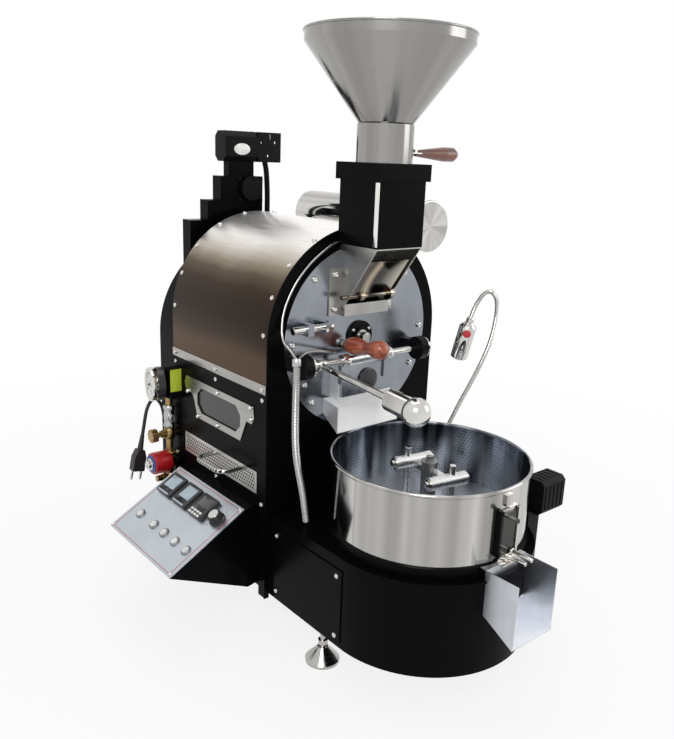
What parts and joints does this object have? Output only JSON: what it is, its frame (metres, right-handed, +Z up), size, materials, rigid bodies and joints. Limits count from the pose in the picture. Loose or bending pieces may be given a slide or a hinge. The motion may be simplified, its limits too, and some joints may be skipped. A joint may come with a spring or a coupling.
{
  "type": "commercial coffee roaster",
  "caption": "Drum coffee roaster on a cabinet base, with a round cooling bin and agitator in front, a cone hopper on top, a side control panel and a gas train.",
  "frame": {"origin": "middle of the machine's box, on the floor, without the power cord", "axes": "+Z up; the front with the cooling bin faces -Y; the control panel is on the -X side; the drum's axis runs along Y"},
  "size_m": [0.591, 0.9438, 1.018],
  "materials": {
    "agitator_arms": "polished",
    "agitator_gearmotor": "dark",
    "agitator_shaft": "turned",
    "base_cabinet": "satin black powder coat",
    "base_top_plate": "satin black",
    "bean_door": "dark polished",
    "bearings": "gloss black",
    "bin_floor": "perforated plate",
    "burner": "dull",
    "chaff_drawer": "polished",
    "control_box": "gloss black",
    "control_panel": "satin",
    "cooling_bin": "polished stainless",
    "cord_coil": "matte",
    "cord_gland": "matte",
    "discharge_chute": "bright",
    "discharge_spout": "polished stainless",
    "door_lever": "polished",
    "drive_belt": "matte",
    "drive_motor": "satin black",
    "drive_pulley": "turned",
    "drum": "dark",
    "drum_shaft": "turned",
    "exhaust_duct": "polished stainless",
    "face_disc": "mirror polished",
    "fan_motor": "satin black",
    "feed_chute": "mirror polished",
    "feed_flap": "bright",
    "front_plate": "gloss black",
    "gas_knob": "knurled",
    "gas_train": "brass fittings, red coil",
    "gas_valve_cap": "nickel plated",
    "gate_slide": "brushed",
    "hopper": "polished stainless",
    "hopper_gate": "brushed",
    "hopper_gate_handle": "varnished",
    "levelling_feet": "bright",
    "neck_box": "gloss black",
    "outer_cover": "bronze metallic",
    "power_cord": "matte",
    "power_plug": "matte",
    "pressure_gauge": "black case, white dial",
    "pressure_switch": "black",
    "probe_conduit": "ribbed",
    "push_button_1": "white",
    "push_button_2": "white",
    "push_button_3": "white",
    "push_button_4": "white",
    "push_button_5": "white",
    "rear_housing": "gloss black",
    "side_panel_left": "gloss black",
    "side_panel_right": "gloss black",
    "slide_bolt": "polished",
    "speed_knob": "black with a bright cap",
    "strips_and_screws": "bright",
    "temperature_controllers": "black housings, pale screens",
    "trier": "polished",
    "trier_handle": "varnished red-brown",
    "window_frame": "polished",
    "window_glass": "clear",
    "work_lamp": "bright"
  },
  "bodies": {
    "frame": {"agitator_gearmotor": "agitator_gearmotor", "base_cabinet": "base_cabinet", "base_top_plate": "base_top_plate", "bearings": "bearings", "bin_floor": "bin_floor", "burner": "burner", "control_box": "control_box", "control_panel": "control_panel", "cooling_bin": "cooling_bin", "cord_coil": "cord_coil", "cord_gland": "cord_gland", "discharge_chute": "discharge_chute", "discharge_spout": "discharge_spout", "drive_belt": "drive_belt", "drive_motor": "drive_motor", "exhaust_duct": "exhaust_duct", "face_disc": "face_disc", "fan_motor": "fan_motor", "feed_chute": "feed_chute", "front_plate": "front_plate", "gas_train": "gas_train", "hopper": "hopper", "levelling_feet": "levelling_feet", "neck_box": "neck_box", "outer_cover": "outer_cover", "power_cord": "power_cord", "power_plug": "power_plug", "pressure_gauge": "pressure_gauge", "pressure_switch": "pressure_switch", "probe_conduit": "probe_conduit", "rear_housing": "rear_housing", "side_panel_left": "side_panel_left", "side_panel_right": "side_panel_right", "strips_and_screws": "strips_and_screws", "temperature_controllers": "temperature_controllers", "window_frame": "window_frame", "window_glass": "window_glass", "work_lamp": "work_lamp"},
    "agitator": {"agitator_shaft": "agitator_shaft", "agitator_arms": "agitator_arms"},
    "bin_gate": {"gate_slide": "gate_slide"},
    "roasting_drum": {"drum": "drum", "drum_shaft": "drum_shaft"},
    "belt_drive": {"drive_pulley": "drive_pulley"},
    "drawer": {"chaff_drawer": "chaff_drawer"},
    "speed_dial": {"speed_knob": "speed_knob"},
    "feed_gate": {"hopper_gate": "hopper_gate", "hopper_gate_handle": "hopper_gate_handle"},
    "flap": {"feed_flap": "feed_flap"},
    "door": {"bean_door": "bean_door", "door_lever": "door_lever"},
    "sampler": {"trier": "trier", "trier_handle": "trier_handle"},
    "bolt": {"slide_bolt": "slide_bolt"},
    "gas_valve": {"gas_valve_cap": "gas_valve_cap"},
    "gas_cock": {"gas_knob": "gas_knob"},
    "button_1": {"push_button_1": "push_button_1"},
    "button_2": {"push_button_2": "push_button_2"},
    "button_3": {"push_button_3": "push_button_3"},
    "button_4": {"push_button_4": "push_button_4"},
    "button_5": {"push_button_5": "push_button_5"}
  },
  "joints": [
    {"name": "agitator_turn", "type": "hinge", "parent": "frame", "child": "agitator", "pos_m": [0.0635, -0.175, 0.3], "axis": [0, 0, 1], "continuous": true},
    {"name": "bin_gate_lift", "type": "slide", "parent": "frame", "child": "bin_gate", "axis": [0, 0, 1], "range_m": [0, 0.045]},
    {"name": "drum_turn", "type": "hinge", "parent": "frame", "child": "roasting_drum", "pos_m": [0.0635, 0.17, 0.528], "axis": [0, 1, 0], "continuous": true},
    {"name": "drive_turn", "type": "hinge", "parent": "frame", "child": "belt_drive", "pos_m": [0.0675, 0.385, 0.761], "axis": [0, 1, 0], "continuous": true},
    {"name": "drawer_pull", "type": "slide", "parent": "frame", "child": "drawer", "axis": [-1, 0, 0], "range_m": [0, 0.15]},
    {"name": "speed_dial_turn", "type": "hinge", "parent": "frame", "child": "speed_dial", "pos_m": [-0.18748, 0.075, 0.21879], "axis": [-0.4955, 0, 0.8686], "range_deg": [-135, 135]},
    {"name": "feed_gate_pull", "type": "slide", "parent": "frame", "child": "feed_gate", "axis": [1, 0, 0], "range_m": [0, 0.06]},
    {"name": "flap_swing", "type": "hinge", "parent": "frame", "child": "flap", "pos_m": [0.0635, -0.008, 0.603], "axis": [1, 0, 0], "range_deg": [0, 50]},
    {"name": "door_swing", "type": "hinge", "parent": "frame", "child": "door", "pos_m": [0.0635, -0.016, 0.497], "axis": [1, 0, 0], "range_deg": [-60, 0]},
    {"name": "sampler_pull", "type": "slide", "parent": "frame", "child": "sampler", "axis": [0, -0.9956, 0.0941], "range_m": [0, 0.1]},
    {"name": "bolt_slide", "type": "slide", "parent": "frame", "child": "bolt", "axis": [-1, 0, 0], "range_m": [0, 0.015]},
    {"name": "gas_valve_turn", "type": "hinge", "parent": "frame", "child": "gas_valve", "pos_m": [-0.1395, 0.324, 0.323], "axis": [0, 1, 0], "range_deg": [0, 90]},
    {"name": "gas_cock_turn", "type": "hinge", "parent": "frame", "child": "gas_cock", "pos_m": [-0.1735, 0.339, 0.288], "axis": [1, 0, 0], "range_deg": [-135, 135]},
    {"name": "button_1_press", "type": "slide", "parent": "frame", "child": "button_1", "axis": [0.4955, 0, -0.8686], "range_m": [0, 0.001], "stiffness_N_per_m": 400, "springref_m": -0.001},
    {"name": "button_2_press", "type": "slide", "parent": "frame", "child": "button_2", "axis": [0.4955, 0, -0.8686], "range_m": [0, 0.001], "stiffness_N_per_m": 400, "springref_m": -0.001},
    {"name": "button_3_press", "type": "slide", "parent": "frame", "child": "button_3", "axis": [0.4955, 0, -0.8686], "range_m": [0, 0.001], "stiffness_N_per_m": 400, "springref_m": -0.001},
    {"name": "button_4_press", "type": "slide", "parent": "frame", "child": "button_4", "axis": [0.4955, 0, -0.8686], "range_m": [0, 0.001], "stiffness_N_per_m": 400, "springref_m": -0.001},
    {"name": "button_5_press", "type": "slide", "parent": "frame", "child": "button_5", "axis": [0.4955, 0, -0.8686], "range_m": [0, 0.001], "stiffness_N_per_m": 400, "springref_m": -0.001}
  ],
  "couplings": [
    {"joint": "drive_turn", "follows": "drum_turn", "ratio": 3.1429}
  ]
}
